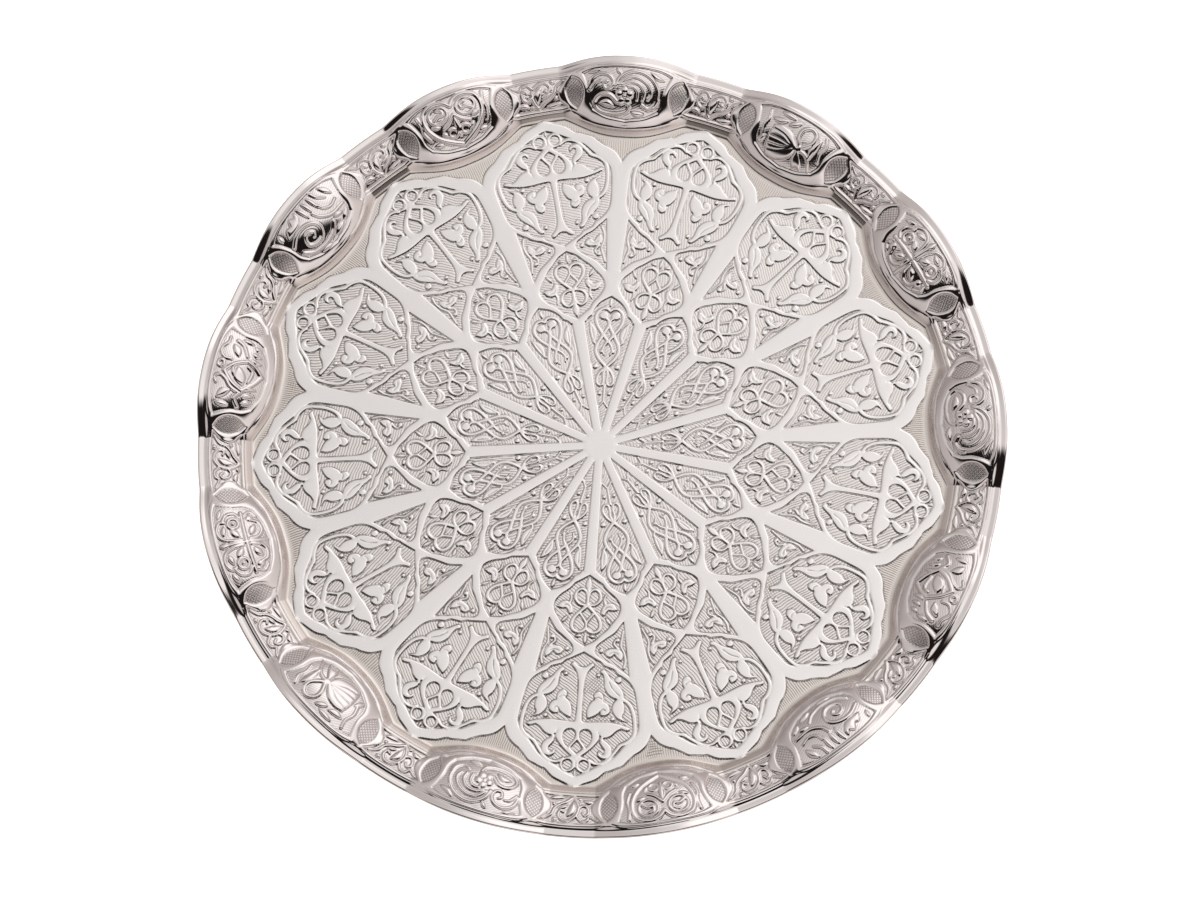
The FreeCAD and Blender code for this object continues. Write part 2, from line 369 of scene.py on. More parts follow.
def medallion(f):
    f.sunk(mirrored(
        [(0, 145.5), (4, 144), (8, 141.5), (12, 139.5), (16, 136.5), (20, 131.5), (23.5, 128), (25.5, 124),
         (25.5, 120), (24.3, 113.5), (23, 108), (21, 104.5), (18, 102), (15, 100.5)],
        [(13.6, 98.8), (12.5, 98.3), (9, 97.2)], [(7.4, 95.6), (5.5, 94.7), (0, 91.7)],
    ))
    # the outer vine, rising from the tip, round the side and down to the lower leaf's knot
    f.strap([(5.4, 138.3), (7.8, 139.6), (10.6, 139.5), (13.6, 137.7), (16, 134.6), (18.4, 131.3),
             (21.8, 129), (24, 125.6), (23.7, 120), (22.3, 115.4), (20.2, 112.5), (17.2, 111)], 1.3, 1.7)
    f.strap([(17.4, 131.6), (18.6, 130.4), (20.4, 129.9)], 0.8, 0.4)
    # the stem, flared at its foot, and the wing across it
    f.raised(mirrored(
        [(0, 124), (1.3, 122), (1.1, 116), (1.2, 106), (1.7, 102.2), (2.8, 99.7), (5.0, 97.3)],
        [(4.2, 96.2), (3.1, 96.6)], [(1.6, 97.8), (0, 98.2)],
    ))
    f.raised(mirrored(
        [(0, 121.2), (1.4, 121.4), (3, 122), (12, 121.4), (18, 122.2), (22, 123.4)],
        [(21.4, 124.5), (20, 124.6), (18.2, 124)],
        [(16.2, 125.2), (14, 127.4), (11.6, 128.4), (9.6, 127.7), (8.7, 126)],
        [(7.6, 127.6), (0, 127.6)],
    ))
    # the heart above the wing, with its drops and lozenge
    f.raised(mirrored(
        [(0, 139.4), (2, 137), (4.4, 135), (7, 132.4), (8.8, 129.8), (9.2, 127.6), (8.4, 125.4)],
        [(0, 125)],
    ))
    f.sunk(closed(
        [(3.9, 133.2), (2.8, 131.6), (1.5, 130), (0.8, 128.4), (0.9, 126.6), (2.4, 125.3), (4.4, 125.4),
         (5.9, 126.8), (6.3, 129), (5.4, 131.4)],
    ))
    f.sunk(mirrored([(0, 135.8), (1.3, 134.8), (2.7, 133.5)], [(1.3, 131.6), (0, 130)]))
    # the ring beside the tip, and the tick between the two
    f.raised(closed(
        [(0, 141.7), (1.2, 143.1), (3.2, 143.9), (5.3, 143.1), (6.5, 141.2), (6.1, 139.4), (4.6, 137.8),
         (2, 137.2), (0, 138.6)],
        [],
    ))
    f.sunk(circle(3.5, 140.7, 2.2))
    f.raised(leaf(0, 142.9, 0, 145.2, 0.8))
    # the hooked half palmette between vine and heart
    f.raised(closed(
        [(10.2, 128.8), (12.8, 130.2), (14.7, 132.6), (14.5, 135.3), (12.9, 137.1), (10.8, 137.3),
         (9.2, 136), (9.3, 134.3)],
        [(10.5, 135.5), (11.8, 135.2), (11.9, 133.7), (10.6, 132), (9.8, 130.4)],
    ))
    f.strap([(10.2, 129.2), (10.6, 128)], 1.2)
    # the tulip leaf beside the stem
    f.raised(closed(
        [(3.7, 120.4), (6, 119.4), (7.8, 118.2), (8.9, 117)],
        [(8.9, 118.3), (10.2, 118.9), (12.1, 118.1), (12.9, 116.4), (12.4, 114.6), (11.2, 113.3),
         (9.9, 112.9)],
        [(9.9, 111.2), (9.2, 109.4), (7.4, 108.3), (5.9, 109.4), (5.8, 111), (6.3, 112)],
        [(4.9, 113), (3.6, 115.4), (3.2, 118)],
    ))
    f.line([(8.9, 118), (8.8, 116.9), (9.8, 116), (10.9, 116.4)], 0.4)
    f.line([(6.2, 111.4), (7.5, 110.9), (9, 111.5)], 0.3)
    # the upright almond leaf and the leaf that runs down from its foot
    f.raised(closed(
        [(17.2, 110.8), (18.7, 113.6), (18.9, 116.6), (18.2, 119), (20.4, 120.8)],
        [(16.9, 120), (14.9, 118.2), (13.9, 115.8), (14.2, 113.2), (15.6, 111.4)],
    ))
    f.raised(closed(
        [(17.6, 111.4), (14.2, 111), (11.6, 109.4), (10, 106.6), (9.6, 103.4), (9, 101.2), (7.9, 100.3)],
        [(7.9, 99.1), (9.3, 98.9), (10.9, 100.6), (12.4, 102.6), (14.6, 104.4), (17.2, 107),
         (18.4, 109.8)],
    ))
    f.raised(circle(15.5, 102.9, 1.4), circle(14.3, 119.9, 0.9), circle(6.9, 101.4, 0.8))
    f.line([(16.4, 109.6), (13.6, 107.2), (11.6, 104)], 0.3)


def border(f):
    """The ground between the medallions' own edge and the wall."""
    f.sunk(mirrored(
        [(0, 150.3), (8, 147), (10.5, 145.3)], [(12.6, 143.2), (14.5, 142.5)],
        [(17.5, 141), (20, 139.8), (22, 137.5), (24.3, 135)],
        [(27, 133), (29.5, 130), (31.2, 125.2)], [(70, 125.2)], [(70, 185)], [(0, 185)],
    ))


def floor_ornament(radius, angle):
    """Relief and ground of the floor. The angle is counted from the middle of the nearest petal."""
    over = HALF - angle
    medallions = Field(radius * np.sin(over), radius * np.cos(over))
    for draw in (medallion, triangle, cartouche):
        draw(medallions)
    petals = Field(radius * np.sin(angle), radius * np.cos(angle))
    petal(petals)
    outside = Field(medallions.x, medallions.y)
    border(outside)
    inside = np.minimum(np.minimum(medallions.inside, petals.inside), outside.inside)
    engraved = np.maximum(medallions.engraved, petals.engraved)
    return inside, engraved, petals.inside < medallions.inside, outside.inside < 0.0


def relief_height(inside, engraved, depth, step, dome):
    """Height above the plain sheet: straps and leaves at 0, slightly domed, and ground at -depth."""
    height = depth * (smooth(-0.5 * step, 0.5 * step, inside) - 1.0)
    height -= LINE_DEPTH * np.exp(-(((inside + LINE_OUT) / LINE_WIDTH) ** 2))
    height -= dome * np.exp(-np.maximum(inside, 0.0) / DOME_REACH)
    return height - ENGRAVED_DEPTH * smooth(*ENGRAVED_EDGE, engraved)


# ======== the wall's ornament
# x runs clockwise along the wall, in millimetres at WALL_ARC_RADIUS, from the middle of a lobe or
# of the straight between two lobes; y runs outwards from WALL_START.
def lobe_panel(f):
    """The smooth bands round a lobe, its sunk panel and the cross-hatched leaf on each side."""
    f.sunk(mirrored(
        [(0, 19), (8, 18.9), (15, 18.3), (19.6, 16.9)],
        [(18.4, 13.4), (17.4, 9), (17.2, 4.6), (15.6, 1.2)], [(9, -2.1), (0, -3.6)],
    ))
    for g in f.sides():
        g.sunk(closed(
            [(24.6, 16.4), (21.6, 14), (19.9, 10), (20.6, 5.8), (23.2, 2.6)],
            [(26.4, 5.8), (27.6, 10.2), (26.9, 13.6)],
        ))
    f.line([(-25, 2.2), (-20, -0.8), (-13, -4), (0, -5.8), (13, -4), (20, -0.8), (25, 2.2)], 0.3)
    f.line([(-22.4, 18), (-16, 19.9), (0, 20.3), (16, 19.9), (22.4, 18)], 0.35)


def straight_panel(f):
    """The vine between two lobes."""
    f.sunk(mirrored(
        [(0, 17), (8, 17), (13.4, 16.4)], [(10.6, 13.6), (8.9, 10.2), (9.8, 7), (12.2, 4.4)],
        [(0, 4.2)],
    ))
    f.line([(-13.4, 3), (0, 2.9), (13.4, 3)], 0.3)
    f.line([(-13, 18.2), (0, 18.4), (13, 18.2)], 0.35)
    f.strap([(-0.6, 4.6), (-2.4, 7.2), (-3.2, 10.2), (-2.1, 13.4), (0.6, 15.6), (3.6, 15.5),
             (5.3, 13.5), (4.6, 11.4), (3.1, 12)], 1.2, 0.8)
    f.strap([(-0.6, 4.9), (2.2, 7.2), (5, 8.6), (7.2, 10.6), (8.3, 13.4), (11.4, 15.7)], 1.1, 0.7)
    f.raised(leaf(-1, 6.8, 1.5, 14, 2.9, 0.1), leaf(1.6, 9, 5.3, 10.6, 1.3))
    f.strap([(-3.1, 10), (-5.2, 8.7), (-7.2, 9.8), (-7.5, 12.2), (-6, 13.3), (-5, 12)], 1.1, 0.7)
    f.strap([(-2.4, 13.4), (-4.3, 15.6), (-6.8, 15.5), (-8.2, 13.9), (-11.2, 15.6)], 1.0, 0.7)
    f.raised(leaf(-9.8, 7, -5.2, 6, 1.8, 0.1), leaf(-4.8, 5.4, -2.4, 6.2, 1.2))
    f.raised(leaf(3.2, 5.4, 9.6, 6.4, 1.9, -0.1), circle(7.6, 8.5, 0.7), circle(6.6, 15.6, 0.9))
    f.line([(0.1, 8), (0.8, 12.4)], 0.25)


def rosette(f):
    """A flower with arching leaves to the right and a scroll to the left."""
    for i in range(5):
        a = 2.0 * math.pi * i / 5 + 0.3
        f.raised(circle(-0.6 + 2.6 * math.cos(a), 5.8 + 2.4 * math.sin(a), 1.55))
    f.raised(circle(-0.6, 5.8, 1.0))
    f.strap([(-4.8, 10), (-2.9, 14), (1.6, 16.8), (7, 16.6), (11.8, 13.8), (14.5, 9.4), (13.9, 4.4),
             (10.9, 1.8), (8, 2.8)], 1.4, 1.0)
    f.strap([(-3.2, 10.6), (0.4, 13.9), (5, 14.2), (9.6, 11.6), (11.6, 8), (10.3, 5.4)], 1.1, 0.8)
    f.strap([(-1.8, 10.6), (2, 12), (6, 11.2), (8.4, 8), (7.8, 4.8)], 1.1, 0.8)
    f.strap([(0.6, 10), (3.4, 9.9), (5.3, 7.8), (5.2, 4.6)], 1.0, 0.7)
    f.strap([(-17.4, 10), (-15.8, 13.8), (-12, 15.9), (-8, 15), (-5.9, 12), (-7, 9.4), (-9.6, 9.2),
             (-10.2, 11.3), (-8.9, 12.3)], 1.3, 0.8)
    f.strap([(-16.4, 9.2), (-13.8, 12), (-11.6, 12.4)], 1.0, 0.6)
    f.strap([(-4, 3.4), (-7.6, 6.4), (-12, 6.6), (-14.9, 3.9), (-13.2, 0.8), (-9, -0.9),
             (-4, -1.3), (0.4, -0.3), (2, 2)], 1.3, 0.9)
    f.raised(leaf(-12.4, 3.4, -5.4, 1.4, 2.4, 0.08), leaf(2.8, -0.4, 9, -0.6, 1.9, -0.1))
    f.raised(leaf(-2.6, 15.4, -4.6, 18.2, 1.5), leaf(10.4, 17.6, 16.6, 14.6, 1.8, -0.1))
    f.raised(leaf(-17, 16.8, -11.8, 18, 1.4), leaf(13, 1.8, 15.6, 6.6, 1.4))
    f.line([(-11.6, 3), (-6.6, 1.7)], 0.25)


def quarters(f):
    """A cross with a heart and a ring in each quarter."""
    f.strap([(-14.4, 6.4), (0, 6.3), (14.4, 6.4)], 1.3)
    f.strap([(0, -2.4), (0, 15)], 1.3)
    f.raised(leaf(0, 13.6, 0, 18.7, 2.4))
    for g in f.sides():
        g.strap([(1.2, 8.2), (1.7, 13), (3.6, 16.8), (7.4, 18), (10.6, 16.3), (10.5, 14)], 1.2, 1.0)
        g.strap([(10.6, 15), (13.7, 13), (14.3, 9.6), (12, 7.4)], 1.2, 1.0)
        g.strap([(1.2, 4.6), (2, 0.9), (5, -1), (8.7, -0.2), (10, 2.2)], 1.2, 1.0)
        g.strap([(13.2, 4.8), (14.4, 2.6), (12, 0.4)], 1.2, 1.0)
        g.ring(9.4, 10.4, 2.9, 1.8)
        g.raised(leaf(2.4, 8.8, 6.6, 12, 2.6), circle(9.4, 10.4, 0.8))
        g.raised(leaf(4.2, 15.6, 8.8, 14.6, 2.0), leaf(3, 4, 7.8, 1.6, 2.6))
        g.raised(circle(11.2, 3.2, 1.5), leaf(12.6, 16.6, 17, 14.6, 1.8))


def bow(f):
    """A ribbed bell flower lying on its side, with ribbons at its knot."""
    f.raised(closed(
        [(3.6, 6.6), (-1, 10.4), (-6, 11.7), (-10.2, 11)], [(-10.9, 6), (-10.2, 1), (-8.8, -1.6)],
        [(-4, -2), (1, 0), (3.3, 3)],
    ))
    for end in (9.3, 6.2, 3.2, 0.6):
        middle = 5.8 + 0.75 * (end - 5.8)
        f.line([(2.4, 5.6), (-3.6, middle), (-9.8, end)], 0.3, 0.7)
    f.raised(circle(4.6, 6, 1.6))
    f.strap([(4.4, 7), (2.4, 10.8), (2.6, 14.4), (5.6, 16.7), (8.8, 15.4), (9.3, 11.6), (6.8, 8.2),
             (5, 6.8)], 1.5)
    f.raised(joined(
        [(5, 5.2), (9, 1.6), (10.4, -1)], [(8.2, -0.2), (6.2, -1.4)], [(4.4, 1), (4.4, 5)],
    ))
    f.strap([(5.8, 6), (9, 5.6), (11.8, 3.6), (13.8, 0.9)], 1.2, 0.8)
    f.raised(leaf(11.2, 4, 12, 15, 2.7, 0.06))
    f.strap([(13.4, 16.6), (15, 13.4), (14.2, 9.8), (15.4, 6)], 1.2, 0.8)
    f.strap([(-13.6, 4.6), (-14.8, 8.6), (-13.8, 12.6), (-14.6, 16.4)], 1.2, 0.8)
    f.raised(leaf(-12.4, 13.6, -5.2, 14.6, 2.4, -0.1), leaf(-9.6, 17.4, -2.4, 16.8, 1.8))
    f.raised(leaf(-4.4, 13.2, 0.6, 16.4, 2.2), leaf(-15, 1.4, -12, 5.4, 2.0))
    f.line([(11.4, 6), (11.9, 13)], 0.3)


def heart(f):
    """A heart holding two large rings above and two small ones below."""
    for g in f.sides():
        g.strap([(0, 14.6), (2.6, 17.2), (7, 18.2), (11.6, 16.8), (13.6, 13.2), (13.4, 8.6),
                 (10.6, 3.8), (6, 0.4), (0, -2.4)], 1.5)
        g.ring(6.6, 12.6, 4.8, 3.7, 0.85)
        g.strap([(9.2, 11), (6.8, 12.4), (4.6, 12), (4.4, 14), (6.6, 14.9)], 1.3, 0.9)
        g.ring(3.2, 3.4, 2.6, 1.6, 0.8)
        g.strap([(0, 10.6), (3.2, 7.6), (6.6, 6.2)], 1.1, 0.8)
        g.raised(leaf(7.8, 7.6, 11.6, 9, 1.5), leaf(8, 4.9, 5.6, 2.6, 1.5))
        g.strap([(15.4, 16.6), (14.9, 12.6), (15.6, 8.6), (14.2, 4.6)], 1.2, 0.8)
        g.raised(leaf(13.6, 1.6, 9.4, 0.6, 1.7))
    f.raised(leaf(0, 1, 0, 9.6, 2.2))


def swirl(f):
    """A coiled leaf with upright blades above it."""
    f.strap([(-16, 8.6), (-11, 10.6), (-5.6, 10.4), (-1.6, 8.2), (-0.8, 4.8), (-3.4, 2),
             (-7.4, 1.9), (-10.4, 3.8), (-9.6, 6.6), (-6.8, 7.4), (-4.8, 5.8), (-6, 4.4)],
            1.5, 1.0)
    f.strap([(-15, 3.8), (-11, 0.4), (-4, -1), (2.4, 0), (6, 2.6)], 1.3, 0.9)
    f.strap([(1.4, 11), (3.2, 7.6), (8, 5.2), (15.4, 5.8)], 1.4, 1.0)
    f.strap([(5.8, 12), (7, 9.2), (10.4, 8), (14, 9.2)], 1.2, 0.8)
    for x in (-2.2, 1.0, 4.2):
        f.raised(leaf(x, 18.3, x + 1.0, 10.8, 1.7, 0.04))
    f.raised(closed(
        [(-14, 12.4), (-11.8, 15.4), (-9.6, 14.9)], [(-7.6, 17.4), (-5.4, 15.9)],
        [(-4, 17.6), (-3.6, 15.6)], [(-5.6, 13), (-9.6, 12)],
    ))
    f.strap([(7.2, 18), (8.2, 14.8), (10.8, 12.4)], 1.3, 0.9)
    f.raised(leaf(11.2, 17.6, 14.6, 11.8, 2.4, 0.05), leaf(2.6, -2.1, 9, -0.4, 1.7))
    f.raised(leaf(-9.4, -1.8, -2.4, -2.8, 1.4), leaf(10.4, 0, 15.2, 3.2, 1.9))
    f.raised(leaf(-16.8, 13.6, -16, 17.2, 1.4), leaf(7.4, 3.6, 12.4, 3.2, 1.5))


def diamond(f):
    """A curved diamond holding a leaf, with scrolls at its corners."""
    f.raised(closed(
        [(-0.2, 15.6), (4.2, 10.8), (7, 5.4)], [(4.8, 1.2), (0.8, -2.4)],
        [(-4.2, 0.6), (-9.2, 5.6)], [(-5.8, 10.8)],
    ))
    f.sunk(closed(
        [(-0.4, 13.4), (3.2, 9.6), (5.3, 5.4)], [(3.6, 2), (0.8, -0.6)], [(-3.4, 2), (-7.2, 5.7)],
        [(-4.6, 9.8)],
    ))
    f.raised(leaf(-5.4, 5.4, 2.8, 8.6, 4.6, 0.06), leaf(-1.8, 10.2, 2.4, 11, 1.3))
    f.strap([(-3.6, 3.4), (1.4, 2.4), (3.6, 4.6)], 1.1)
    f.strap([(-9.4, 6.4), (-7.4, 10.4), (-4, 13.2), (-2.4, 16), (-3.8, 18), (-6.2, 17)], 1.2, 0.9)
    f.ring(2.6, 16.4, 2.0, 0.9)
    f.strap([(5.4, 12.4), (5.6, 15.8), (9, 17.9), (12.6, 15.7), (15.4, 15.6)], 1.2, 0.9)
    f.raised(leaf(7, 9.6, 12.4, 13.2, 3.0, -0.08), leaf(-12.6, 15.8, -8.6, 10.4, 3.2, 0.1))
    f.strap([(-15.6, 6.8), (-12, 8.4), (-9.2, 6)], 1.6, 1.0)
    f.strap([(14.6, 12), (12.6, 8.6), (8.2, 6)], 1.5, 1.0)
    for g, tilt in zip(f.sides(), (0.0, 0.6)):
        for i in range(3):
            x = 6.6 + 3.2 * i
            g.raised(leaf(x, 0.7 * i - 0.4, x + 1.2, 4.4 + tilt, 1.7, 0.1))
    f.raised(leaf(-15.6, 10.4, -14.6, 16.4, 1.9), leaf(15, 5, 15.8, 10, 1.6))


LOBE_MOTIFS = (
    rosette, quarters, bow, rosette, heart, swirl, diamond,
    quarters, bow, rosette, heart, swirl, diamond,
)


def wall_ornament(radius):
    """Relief of the wall on every ring and column, and where the cross-hatched leaves are."""
    from_middle = COLUMNS_PER_LOBE / 2 - np.arange(COLUMNS_PER_LOBE)
    x = from_middle * (SPACING / COLUMNS_PER_LOBE * WALL_ARC_RADIUS)
    half_turn = COLUMNS_PER_LOBE // 2
    lobe_radius = np.roll(radius, half_turn, axis=1)[:, :COLUMNS_PER_LOBE]
    across = np.broadcast_to(x, lobe_radius.shape)

    def fields(wall_radius, *drawings):
        f = Field(across.ravel(), wall_radius.ravel() - WALL_START)
        for draw in drawings:
            draw(f)
        return f.inside.reshape(across.shape), f.engraved.reshape(across.shape)

    straight = fields(radius[:, :COLUMNS_PER_LOBE], straight_panel)
    done = {draw: fields(lobe_radius, lobe_panel, draw) for draw in set(LOBE_MOTIFS)}
    lobes = [np.hstack(values) for values in zip(*(done[draw] for draw in LOBE_MOTIFS))]
    inside, engraved = np.roll(lobes, -half_turn, axis=2)
    inside = np.minimum(inside, np.tile(straight[0], LOBES))
    engraved = np.maximum(engraved, np.tile(straight[1], LOBES))
    from_lobe = np.roll(np.tile(np.abs(x), LOBES), -half_turn)
    facets = (from_lobe > FACET_REACH[0]) & (from_lobe < FACET_REACH[1]) & (inside < 0.0)
    return inside, engraved, facets


# ======== the sheet's own shape
def lobe_share(angle):
    across = np.minimum(np.abs(angle) / HALF / LOBE_HALF_WIDTH, 1.0)
    return (1.0 - across**LOBE_CROWN) ** LOBE_FOOT


def between(pair, share):
    return pair[0] + (pair[1] - pair[0]) * share


def wall_height(radius, angle):
    """The height of the sheet's upper side above the floor's top, out to the start of the curl."""
    share = lobe_share(angle)
    root, lip = between(ROOT_RADIUS, share), between(LIP_RADIUS, share)
    t = (radius - root) / (lip - root)
    turned = np.where(t > ROOT_FILLET, t, np.maximum(t + ROOT_FILLET, 0.0) ** 2 / (4.0 * ROOT_FILLET))
    rise = between(LIP_HEIGHT, share) * (1.0 - np.maximum(1.0 - turned, 0.0) ** between(WALL_POWER, share))
    return rise - np.maximum(radius - lip, 0.0) * math.tan(LIP_DROOP)


def edge_centre(angle):
    share = lobe_share(angle)
    radius = between(EDGE_RADIUS, share) - CURL_OUTER
    top = wall_height(radius, angle) + SHEET
    return radius, top - CURL_OUTER / math.cos(LIP_DROOP)


def lines_lie(sector, middle, settings):
    """The way the cut lines run in a sector. It differs from each sector to the next."""
    lie, swing, pace = settings
    return middle + lie + swing * np.sin(pace * sector)


def hatching(radius, turn, in_petal, in_border, on_wall, facets):
    """Positions across and along the cut lines, counted in lines, at each point of the sheet."""
    lobe, medallion = np.round(turn / SPACING), np.floor(turn / SPACING)
    in_medallion = lines_lie(medallion, (medallion + 0.5) * SPACING, MEDALLION_LIE)
    lie = np.where(in_petal, lines_lie(lobe, lobe * SPACING, PETAL_LIE), in_medallion)
    x, y = radius * np.cos(turn), radius * np.sin(turn)
    across = (x * np.cos(lie) + y * np.sin(lie)) / HATCH_PITCH
    along = (y * np.cos(lie) - x * np.sin(lie)) / HATCH_PITCH
    around = (turn - lobe * SPACING) * WALL_ARC_RADIUS
    across = np.where(in_border, around / BORDER_PITCH, across)
    along = np.where(in_border, radius / BORDER_PITCH, along)
    across = np.where(on_wall, (0.5 * around + radius) / HATCH_PITCH, across)
    across = np.where(facets, (around + radius) / FACET_PITCH, across)
    return across, np.where(facets, (around - radius) / FACET_PITCH, along)


# ======== the visual mesh
class Rings:
    """A closed surface built ring by ring from one middle vertex to another. A ring may hold
    as many vertices as the last one, half as many or twice as many."""

    def __init__(self):
        self.points, self.values, self.flat, self.faces = [], [], [], []
        self.count, self.last = 0, None

    def add(self, ring, values, beyond=0.0, side=0):
        """beyond is how much further out the ring lies when the sheet is laid flat, and side is 0
        for the upper side of the sheet and 1 for the lower."""
        here = self.count + np.arange(len(ring))
        self.side = side
        if self.last is not None:
            self.join(self.last, here)
        reach = np.hypot(ring[:, 0], ring[:, 1])[:, None]
        self.points.append(ring)
        self.values.append(values)
        self.flat.append(ring[:, :2] * (1.0 + beyond / np.maximum(reach, 1.0)))
        self.count += len(ring)
        self.last = here

    def face(self, *corners):
        self.faces.append((np.stack(corners, 1), self.side))

    def join(self, a, b):
        a_next, b_next = np.roll(a, -1), np.roll(b, -1)
        if len(a) == 1:
            self.face(np.full(len(b), a[0]), b, b_next)
        elif len(b) == 1:
            self.face(a, np.full(len(a), b[0]), a_next)
        elif len(a) == len(b):
            self.face(a, b, b_next, a_next)
        elif len(a) > len(b):
            first, middle, last = a[0::2], a[1::2], a_next[1::2]
            self.face(first, b, middle)
            self.face(middle, b, b_next)
            self.face(middle, b_next, last)
        else:
            first, middle, last = b[0::2], b[1::2], b_next[1::2]
            self.face(a, first, middle)
            self.face(a, middle, a_next)
            self.face(a_next, middle, last)

    def mesh(self, name, value_names):
        """A Blender mesh in metres, smooth shaded, with one float attribute per value and a flat
        layout that keeps the two sides of the sheet apart."""
        points = np.vstack(self.points) * MM
        values = np.vstack(self.values)
        mesh = bpy.data.meshes.new(name)
        mesh.vertices.add(len(points))
        mesh.vertices.foreach_set("co", points.astype(np.float32).ravel())
        corners = np.concatenate([face.ravel() for face, _ in self.faces])
        mesh.loops.add(len(corners))
        mesh.loops.foreach_set("vertex_index", corners.astype(np.int32))
        sizes = np.concatenate([np.full(len(face), face.shape[1]) for face, _ in self.faces])
        mesh.polygons.add(len(sizes))
        mesh.polygons.foreach_set("loop_start", (np.cumsum(sizes) - sizes).astype(np.int32))
        mesh.update(calc_edges=True)
        sides = np.concatenate([np.full(face.size, side) for face, side in self.faces])
        size, place = np.array(FLAT_SIZE)[sides], np.array(FLAT_PLACE)[sides]
        flat = np.vstack(self.flat)[corners] / OUTER * size[:, None] + place
        layout = mesh.uv_layers.new(name="OFBake")
        layout.data.foreach_set("uv", flat.astype(np.float32).ravel())
        mesh.validate()
        mesh.shade_smooth()
        for i, value_name in enumerate(value_names):
            attribute = mesh.attributes.new(value_name, "FLOAT", "POINT")
            attribute.data.foreach_set("value", values[:, i].astype(np.float32))
        return mesh


def full_ring(half):
    """Spreads (rows, COLUMNS_PER_LOBE / 2 + 1) values of half a lobe spacing over the whole ring."""
    column = np.arange(LOBES * COLUMNS_PER_LOBE) % COLUMNS_PER_LOBE
    return half[:, np.minimum(column, COLUMNS_PER_LOBE - column)]


def top_radii(angle):
    """Radii of the rings on the upper side, one row per ring, out to the start of the curl."""
    share = lobe_share(angle)
    root, lip = between(ROOT_RADIUS, share), between(LIP_RADIUS, share)
    edge = edge_centre(angle)[0] + CURL_OUTER * math.sin(LIP_DROOP)
    flat = np.arange(FIRST_RADIUS, FLAT_RADIUS, STEP)[:, None] + np.zeros_like(angle)
    spread = [
        (np.full_like(angle, FLAT_RADIUS), root, FLOOR_RINGS, 1.0),
        (root, lip, WALL_RINGS, WALL_CROWDING),
        (lip, edge, LIP_RINGS, 1.0),
    ]
    rows = [flat]
    for start, end, count, power in spread:
        share_out = (np.arange(count)[:, None] / count) ** power
        rows.append(start + (end - start) * share_out)
    return np.vstack(rows)


def surface_normals(points):
    """Unit normals of a grid of rings, rows outwards and columns round, facing up."""
    out = np.gradient(points, axis=0)
    around = np.roll(points, -1, axis=1) - np.roll(points, 1, axis=1)
    normal = np.cross(out, around)
    return normal / np.linalg.norm(normal, axis=2, keepdims=True)


def softened(grid, times):
    for _ in range(times):
        grid = (grid + np.roll(grid, 1, 1) + np.roll(grid, -1, 1)) / 3.0
        grid = np.vstack([grid[:1], (grid[:-2] + grid[1:-1] + grid[2:]) / 3.0, grid[-1:]])
    return grid


def columns_step(radius):
    """How many columns to skip on a ring, so that its vertices aren't crowded near the middle."""
    return next(step for least, step in COLUMN_STEPS if radius >= least)


def plain_values(count):
    """The values on unworked metal."""
    values = np.zeros((count, len(VALUES)))
    values[:, VALUES.index("edge_distance")] = EDGE_REACH
    values[:, VALUES.index("wall")] = 1.0
    return values


def curl_rings(rings, turn, centre, radius, angles, side):
    """Rings round the edge wire. centre is (radius, height) for each column."""
    start = math.pi / 2.0 - LIP_DROOP
    for a in angles:
        out = centre[0] + radius * math.cos(a)
        ring = np.stack([out * np.cos(turn), out * np.sin(turn), centre[1] + radius * math.sin(a)], 1)
        beyond = radius * (start - a + math.cos(start) - math.cos(a))
        rings.add(ring, plain_values(len(ring)), beyond, side)


